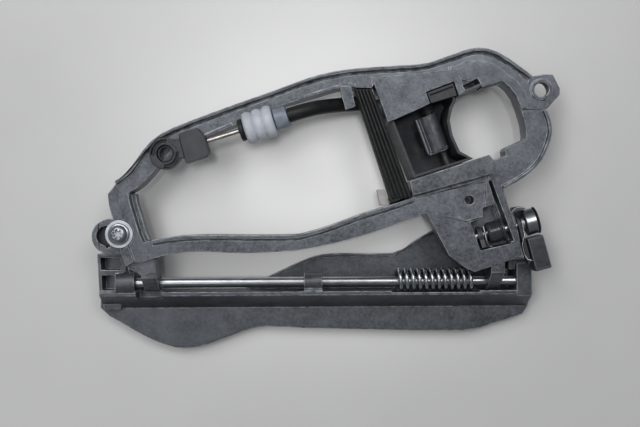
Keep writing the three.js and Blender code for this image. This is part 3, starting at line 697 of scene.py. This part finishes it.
class HANDLE_OT_castings(bpy.types.Operator):
    """Makes the carrier's frame and its pull flap, the two die castings"""

    bl_idname = "handle.castings"
    bl_label = "Castings"

    def execute(self, context):
        edge = sizes().cast_edge
        finish_cad("carrier_frame", "carrier_casting", "die_cast_frame_alloy", edge)
        # the flap's finish carries painted shade: darker tones than the frame's, for the same metal
        finish_cad("pull_flap", "flap_casting", "flap_alloy_with_painted_shade", edge)
        return {"FINISHED"}


class HANDLE_OT_hinge_rod(bpy.types.Operator):
    """Makes the drawn steel rod that the flap turns on"""

    bl_idname = "handle.hinge_rod"
    bl_label = "Hinge rod"

    def execute(self, context):
        start, end, radius = turned("hinge_rod", ROD)
        profile = [
            (start, 0), (start, radius - 0.7), (start + 0.7, radius),
            (end - 0.7, radius), (end, radius - 0.7), (end, 0),
        ]
        rod = soften(lathe(profile, ROD), sizes().steel_edge)
        keep(rod, "turned_hinge_rod", "zinc_plated_steel", "hinge_rod")
        return {"FINISHED"}


class HANDLE_OT_return_spring(bpy.types.Operator):
    """Makes the coil spring on the rod, with a leg against the flap's wall"""

    bl_idname = "handle.return_spring"
    bl_label = "Return spring"

    def execute(self, context):
        thickness = sizes().return_wire
        low, high = reach("return_spring", ROD)
        centre_y = (low.y + high.y) / 2
        radius = (high.y - low.y - thickness) / 2
        first, last = low.x + thickness / 2, high.x - thickness / 2
        turns = coil(first, last, radius, sizes().return_turns, start=radians(200))
        lead = turns[0]
        leg = [
            lead + Vector((-0.2 * MM, -0.2 * MM, -4.2 * MM)),
            lead + Vector((-0.1 * MM, -0.1 * MM, -2.4 * MM)),
            lead + Vector((0, 0, -1.0 * MM)),
        ]
        spring = wire(leg + turns, thickness, ROD @ Matrix.Translation((0, centre_y, 0)), sides=4)
        keep(spring, "wound_return_spring", "hard_drawn_spring_wire", "return_spring", smooth=60)
        return {"FINISHED"}


class HANDLE_OT_screw(bpy.types.Operator):
    """Makes the front ear's screw with its star recess, its washer and its nut"""

    bl_idname = "handle.screw"
    bl_label = "Fixing screw"

    def execute(self, context):
        low, high = reach("front_fixing_screw", SCREW)
        foot, top = low.x / MM, high.x / MM
        flange = top - 3.6
        profile = [
            (foot, 0), (foot, 2.4), (foot + 0.8, 3), (flange, 3), (flange, 5), (flange + 0.7, 5),
            (flange + 1.0, 4.7), (flange + 1.1, 4.1), (flange + 2.3, 3.95), (flange + 2.9, 3.5),
            (flange + 3.35, 2.6), (flange + 3.55, 1.4), (top, 0),
        ]
        head = lathe(profile, SCREW, 48)
        for turn in range(3):
            spoke = block(
                ((flange + 1.6) * MM, -0.55 * MM, -2.3 * MM), ((top + 2) * MM, 0.55 * MM, 2.3 * MM),
                SCREW @ Matrix.Rotation(radians(60 * turn + 12), 4, "X"),
            )
            head = combine(head, spoke)
        head = soften(head, 0.12 * MM, 2, 30)
        keep(head, "star_recess_screw", "dull_zinc_plated_steel", "front_fixing_screw")
        edge = sizes().steel_edge
        finish_cad("fixing_washer", "plain_washer", "white_nylon", edge, 2, 40)
        # a plate nut under the ear; its dark plate, closing the slot from below, also stands in for
        # the shade on the table seen through the slot
        finish_cad("fixing_nut", "plate_nut_and_slot_shade", "phosphated_steel", 0.3 * MM, 2, 40)
        return {"FINISHED"}


class HANDLE_OT_bridge(bpy.types.Operator):
    """Makes the ribbed bridge and the pale clip at its foot"""

    bl_idname = "handle.bridge"
    bl_label = "Ribbed bridge"

    def execute(self, context):
        edge = sizes().moulded_edge
        finish_cad("ribbed_bridge", "moulded_bridge", "black_glass_filled_nylon", edge)
        finish_cad("bridge_clip", "moulded_clip", "neutral_grey_nylon", edge)
        return {"FINISHED"}


class HANDLE_OT_housing(bpy.types.Operator):
    """Makes the guide housing with its catch, pin, spring and cable nipple"""

    bl_idname = "handle.housing"
    bl_label = "Guide housing and catch"

    def make_catch(self):
        """The catch is one steel pressing: a rolled bead on the side that the hook pulls, a groove,
        a crowned plate, a leg down to the cable's nipple and a turned-up lip at its front end."""
        low, high = (corner / MM for corner in reach("catch_lever", CATCH))
        bead = [
            (low.x, high.z - 4), (low.x, high.z - 1.4), (low.x + 0.2, high.z - 0.6),
            (low.x + 0.7, high.z - 0.1), (low.x + 1.3, high.z - 0.1), (low.x + 1.8, high.z - 0.6),
            (low.x + 2.1, high.z - 1.4),
        ]
        crown = [
            (low.x + 2.7, high.z - 1.5), (low.x + 3.2, high.z - 0.9), (low.x + 4.6, high.z - 0.3),
            (low.x + 6.2, high.z), (low.x + 8, high.z - 0.2), (high.x - 1.4, high.z - 0.9),
            (high.x - 0.4, high.z - 2), (high.x, high.z - 3.6), (high.x, low.z + 6.5),
            (high.x - 1.6, low.z + 5.3), (high.x - 5, low.z + 5.3), (low.x + 2.4, high.z - 4),
        ]
        catch = pushed(bead + crown, low.y + 1.4, high.y - 0.6, CATCH)
        leg = pushed(
            [(low.x, low.z), (low.x, high.z - 3), (low.x + 2.2, high.z - 3), (low.x + 2.2, low.z)],
            -4, 4, CATCH,
        )
        lip = [
            (low.x + 0.9, low.y + 1.9, high.z - 1.5), (low.x + 1.9, low.y + 0.9, high.z - 0.9),
            (low.x + 5.5, low.y + 0.8, high.z - 0.8), (high.x - 1.9, low.y + 0.9, high.z - 0.9),
            (high.x - 0.9, low.y + 1.9, high.z - 1.5),
        ]
        rim = wire([Vector(point) * MM for point in lip], 1.5 * MM, CATCH, "BEZIER", 4)
        catch = combine(combine(catch, leg, "UNION"), rim, "UNION")
        bore = lathe([(-20, 0), (-20, 1.8), (20, 1.8), (20, 0)], CATCH_PIN, 24)
        catch = soften(combine(catch, bore), 0.12 * MM, 1, 40)
        bmesh.ops.remove_doubles(catch, verts=catch.verts, dist=MERGE / 10)
        open_edges = [edge for edge in catch.edges if edge.is_boundary]
        bmesh.ops.holes_fill(catch, edges=open_edges, sides=8)
        mark_rubbed(
            catch, CATCH, (low.x, low.y, high.z - 1), (low.x + 1.9, high.y - 2.5, high.z + 1), 0.8
        )
        keep(catch, "pressed_catch", "oiled_pressed_steel", "catch_lever", smooth=50)

    def execute(self, context):
        edge = sizes().moulded_edge
        finish_cad("guide_housing", "moulded_guide_housing", "satin_black_nylon", edge)
        self.make_catch()
        start, end, radius = turned("catch_pin", CATCH_PIN)
        pin = lathe(
            [(start, 0), (start, radius - 0.3), (start + 0.3, radius), (end - 0.3, radius),
             (end, radius - 0.3), (end, 0)],
            CATCH_PIN, 32,
        )
        keep(pin, "turned_catch_pin", "phosphated_steel", "catch_pin")
        low, high = reach("catch_spring", CATCH_PIN)
        turns = coil(low.x + 0.4 * MM, high.x - 0.4 * MM, high.z - 0.4 * MM, 3.5)
        spring = wire(turns, 0.8 * MM, CATCH_PIN)
        keep(spring, "wound_catch_spring", "oiled_pressed_steel", "catch_spring", smooth=60)
        finish_cad("cable_nipple", "cast_nipple", "zinc_plated_steel", 0.3 * MM, 2, 40)
        return {"FINISHED"}


class HANDLE_OT_eyelet(bpy.types.Operator):
    """Makes the moulded eyelet on the cable's front end, and its steel bush"""

    bl_idname = "handle.eyelet"
    bl_label = "Cable eyelet"

    def execute(self, context):
        edge = sizes().moulded_edge
        finish_cad("cable_eyelet", "moulded_eyelet", "grey_black_nylon", 1.4 * edge, 3)
        foot, top, radius = turned("eyelet_bush", BUSH)
        bush = lathe(
            [(foot, radius - 0.6), (foot, radius), (top, radius), (top + 0.1, radius - 0.3),
             (top, radius - 0.6)],
            BUSH, 48, True,
        )
        keep(bush, "pressed_bush", "phosphated_steel", "eyelet_bush")
        return {"FINISHED"}


class HANDLE_OT_cable(bpy.types.Operator):
    """Makes the crimped tube, the core, the washer, the collar, the sheath and its ferrule"""

    bl_idname = "handle.cable"
    bl_label = "Pull cable"

    def execute(self, context):
        start, end, radius = turned("ferrule_tube", CABLE)
        tube = lathe(
            [(start, 0.6), (start, radius), (end - 0.3, radius), (end, radius - 0.2), (end, 0.6)],
            CABLE, 32, True,
        )
        keep(tube, "crimped_tube", "crimped_nickel_silver", "ferrule_tube")
        low, high = reach("cable_core", CABLE)
        line = [(low.x, 0, 0), ((low.x + high.x) / 2, 0, 0), (high.x, 0, 0)]
        core = wire(line, high.y - low.y, CABLE)
        keep(core, "drawn_core", "zinc_plated_steel", "cable_core", smooth=60)
        edge = sizes().moulded_edge
        finish_cad("bellows_washer", "rubber_washer", "black_glass_filled_nylon", edge, 2, 40)
        start, end, radius = turned("sheath_collar", CABLE)
        collar = lathe(
            [(start, 1.2), (start, radius - 0.2), (start + 0.2, radius), (end - 0.6, radius),
             (end - 0.2, radius - 0.2), (end, radius - 0.6), (end, 1.2)],
            CABLE, 48, True,
        )
        keep(collar, "moulded_collar", "natural_nylon", "sheath_collar")
        outlet = reach("sheath_collar", CABLE)[1].x + 0.3 * MM
        route = [CABLE @ Vector((outlet, 0, 0)), CABLE @ Vector((outlet + 4 * MM, 0, 0))]
        route += [
            Vector(point) * MM
            for point in (
                (-4, 42.2, 37.4), (3, 43.8, 32.4), (8, 44.7, 29.2), (13, 45.2, 27.6),
                (19, 45.6, 27), (24.6, 45.6, 26.8),
            )
        ]
        hose = wire(route, 6.8 * MM, Matrix.Identity(4), "BEZIER", 8)
        keep(hose, "extruded_cable_sheath", "extruded_sheath", "cable_sheath", smooth=60)
        start, end, radius = turned("sheath_ferrule", FERRULE)
        ferrule = lathe([(start, 0), (start, radius), (end, radius), (end, 0)], FERRULE, 32)
        ferrule = soften(ferrule, sizes().steel_edge)
        keep(ferrule, "turned_ferrule", "phosphated_steel", "sheath_ferrule")
        return {"FINISHED"}


class HANDLE_OT_bellows(bpy.types.Operator):
    """Makes the milky rubber dust bellows as one fixed shape; on the real part they shorten as the
    cable is pulled
    """

    bl_idname = "handle.bellows"
    bl_label = "Dust bellows"

    def execute(self, context):
        low, high = reach("dust_bellows", CABLE)
        start, length, crest = low.x / MM, (high.x - low.x) / MM, high.y / MM
        valley = crest - 1.0
        folds = sizes().bellows_folds
        wall = sizes().bellows_wall / MM
        steps = folds * 12
        outer = []
        for i in range(steps + 1):
            swell = abs(sin(pi * folds * i / steps)) ** 0.7
            outer.append((start + length * i / steps, valley + (crest - valley) * swell))
        # the front end is closed round the core, with its rim rolled over
        outer[0] = (start, crest - 2.4)
        outer[1] = (start + 0.2, crest - 1.3)
        inner = [(along, radius - wall) for along, radius in reversed(outer)]
        inner[0] = (start + length, 2.6)
        inner[-2:] = [(start + wall, 1.0), (start, 1.0)]
        rubber = lathe(outer + inner, CABLE, 56, True)
        piece = keep(rubber, "moulded_bellows", "milky_silicone_rubber", "dust_bellows", smooth=60)
        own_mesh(piece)
        return {"FINISHED"}


class HANDLE_OT_weight(bpy.types.Operator):
    """Makes the crash weight with its shaft, head, lever and spring"""

    bl_idname = "handle.weight"
    bl_label = "Crash weight"

    def execute(self, context):
        edge = sizes().steel_edge
        start, end, radius = turned("inertia_shaft", WEIGHT)
        shaft = lathe([(start, 0), (start, radius), (end, radius), (end, 0)], WEIGHT, 32)
        keep(soften(shaft, edge), "turned_shaft", "zinc_plated_steel", "inertia_shaft")
        start, end, rim = turned("inertia_head", WEIGHT)
        head = lathe(
            [(start, radius + 0.3), (start, rim), (end, rim), (end, rim - 1.3),
             (end - 0.9, rim - 2.1), (end - 0.9, radius + 0.3)],
            WEIGHT, 56, True,
        )
        keep(soften(head, 0.35 * MM, 3), "turned_head", "zinc_plated_steel", "inertia_head")
        finish_cad("shaft_washer", "moulded_shaft_washer", "black_glass_filled_nylon", edge, 2, 40)
        finish_cad("inertia_lever", "pressed_lever", "phosphated_steel", edge)
        finish_cad("inertia_weight", "cast_weight", "phosphated_steel", 0.5 * MM, 3)
        low, high = reach("inertia_spring", WEIGHT)
        thickness = 0.6 * MM
        inset = thickness / 2
        turns = coil(high.x - inset, low.x + inset, high.z - inset, 2.25)
        # the leg runs down beside the lever and hooks over its foot
        leg = [
            (-6.5, -5.2, 3.9), (-7.6, -6.6, 4.4), (-8.7, -9, 4), (-8.8, -13.6, 3.6),
            (-8.2, -16.2, 4), (-6.3, -17.3, 4),
        ]
        turns += [Vector(point) * MM for point in leg]
        spring = wire(turns, thickness, WEIGHT)
        keep(spring, "wound_weight_spring", "zinc_plated_steel", "inertia_spring", smooth=60)
        return {"FINISHED"}


class HANDLE_OT_roller(bpy.types.Operator):
    """Makes the roller in the shaft block's window, with the pawl and its spring"""

    bl_idname = "handle.roller"
    bl_label = "Roller and pawl"

    def execute(self, context):
        start, end, radius = turned("inertia_roller", WEIGHT)
        bore = 2.3
        profile = [
            (start, bore), (start, radius - 1.3), (start + 0.9, radius - 0.4),
            (end - 2.2, radius - 0.4), (end - 1.9, radius - 0.9), (end - 1.4, radius - 0.9),
            (end - 1.1, radius), (end, radius), (end, bore),
        ]
        roller = soften(lathe(profile, WEIGHT, 56, True), 0.2 * MM, 3, 25)
        keep(roller, "moulded_roller", "polished_black_nylon", "inertia_roller")
        finish_cad("inertia_pawl", "pressed_pawl", "phosphated_steel", sizes().steel_edge)
        bends = [
            (-24, 4, 4.2), (-24, 1, 4.4), (-24, -4.2, 4.2), (-23.4, -5.6, 3.6), (-22.4, -6.2, 3.4),
        ]
        spring = wire([Vector(p) * MM for p in bends], 0.9 * MM, WEIGHT, "BEZIER", 4)
        keep(spring, "bent_pawl_spring", "zinc_plated_steel", "pawl_spring", smooth=60)
        return {"FINISHED"}


class HANDLE_OT_stage(bpy.types.Operator):
    """Makes the pale floor, the soft light and the camera above the part"""

    bl_idname = "handle.stage"
    bl_label = "Stage"

    def hang(self, lamp, spot, aim, power, mirrored):
        """Hangs a lamp over the part and points it at a spot on the floor."""
        lamp.energy = power
        holder = bpy.data.objects.new(lamp.name, lamp)
        holder.location = spot
        holder.rotation_euler = (Vector(aim) - Vector(spot)).to_track_quat("-Z", "Y").to_euler()
        holder.visible_glossy = mirrored
        bpy.context.scene.collection.objects.link(holder)

    def execute(self, context):
        scene = context.scene
        floor_bm = bmesh.new()
        bmesh.ops.create_grid(floor_bm, x_segments=1, y_segments=1, size=FLOOR_HALF_WIDTH)
        mesh = bpy.data.meshes.new("floor")
        floor_bm.to_mesh(mesh)
        floor_bm.free()
        mesh.materials.append(finish_named("melamine_board"))
        floor = bpy.data.objects.new("floor", mesh)
        scene.collection.objects.link(floor)
        floor.location.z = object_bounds()[0].z - FLOOR_GAP
        floor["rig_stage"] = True

        # the ceiling panel and the desk lamp make no reflections, which the other panels give
        for name, spot, width, power, mirrored in (
            ("soft_window", (-0.3, 0.46, 0.9), 0.4, 2.6, True),
            ("ceiling_panel", (-0.26, 0.12, 1.0), 0.3, 3.0, False),
            ("far_panel", (0.3, 0.36, 1.0), 0.35, 2.5, True),
            ("near_panel", (-0.34, -0.16, 1.0), 0.4, 1.0, True),
        ):
            lamp = bpy.data.lights.new(name, "AREA")
            lamp.shape = "SQUARE"
            lamp.size = width
            self.hang(lamp, spot, (0, 0, 0), power, mirrored)
        pool = bpy.data.lights.new("desk_lamp", "SPOT")
        pool.spot_size = radians(14)
        pool.spot_blend = 1.0
        pool.shadow_soft_size = 0.06
        self.hang(pool, (0.0, 0.03, 0.9), (0.0, 0.03, 0), 17.0, False)

        world = bpy.data.worlds.new("studio")
        world.use_nodes = True
        backdrop = world.node_tree.nodes["Background"]
        backdrop.inputs["Color"].default_value = opaque(srgb("#f4f6fa"))
        backdrop.inputs["Strength"].default_value = 0.12
        scene.world = world
        scene.view_settings.view_transform = "Standard"

        lens = bpy.data.cameras.new("above")
        lens.lens = 50
        lens.sensor_width = 36
        camera = bpy.data.objects.new("above", lens)
        camera.location = (-1.35 * MM, -5.7 * MM, CAMERA_HEIGHT)
        camera.rotation_euler = (0, 0, radians(-0.35))
        scene.collection.objects.link(camera)
        scene.camera = camera
        return {"FINISHED"}


OPERATORS = (
    HANDLE_OT_castings,
    HANDLE_OT_hinge_rod,
    HANDLE_OT_return_spring,
    HANDLE_OT_screw,
    HANDLE_OT_bridge,
    HANDLE_OT_housing,
    HANDLE_OT_eyelet,
    HANDLE_OT_cable,
    HANDLE_OT_bellows,
    HANDLE_OT_weight,
    HANDLE_OT_roller,
    HANDLE_OT_stage,
)


class HANDLE_PT_panel(bpy.types.Panel):
    """Lists the makers of the pieces, with their sizes and colours"""

    bl_idname = "HANDLE_PT_panel"
    bl_label = "Door Handle Carrier"
    bl_space_type = "VIEW_3D"
    bl_region_type = "UI"
    bl_category = "Handle"

    def draw(self, context):
        for operator in OPERATORS:
            self.layout.operator(operator.bl_idname)
        for group in (context.scene.handle_sizes, context.scene.handle_colours):
            box = self.layout.box()
            for name in group.bl_rna.properties.keys():
                if name not in ("rna_type", "name"):
                    box.prop(group, name)


CLASSES = (HandleSizes, HandleColours, *OPERATORS, HANDLE_PT_panel)


def register():
    for cls in CLASSES:
        bpy.utils.register_class(cls)
    bpy.types.Scene.handle_sizes = bpy.props.PointerProperty(type=HandleSizes)
    bpy.types.Scene.handle_colours = bpy.props.PointerProperty(type=HandleColours)


def unregister():
    del bpy.types.Scene.handle_colours
    del bpy.types.Scene.handle_sizes
    for cls in reversed(CLASSES):
        bpy.utils.unregister_class(cls)


def main():
    register()
    bpy.ops.handle.castings()
    bpy.ops.handle.hinge_rod()
    bpy.ops.handle.return_spring()
    bpy.ops.handle.screw()
    bpy.ops.handle.bridge()
    bpy.ops.handle.housing()
    bpy.ops.handle.eyelet()
    bpy.ops.handle.cable()
    bpy.ops.handle.bellows()
    bpy.ops.handle.weight()
    bpy.ops.handle.roller()
    bpy.ops.handle.stage()


if __name__ == "__main__":
    main()
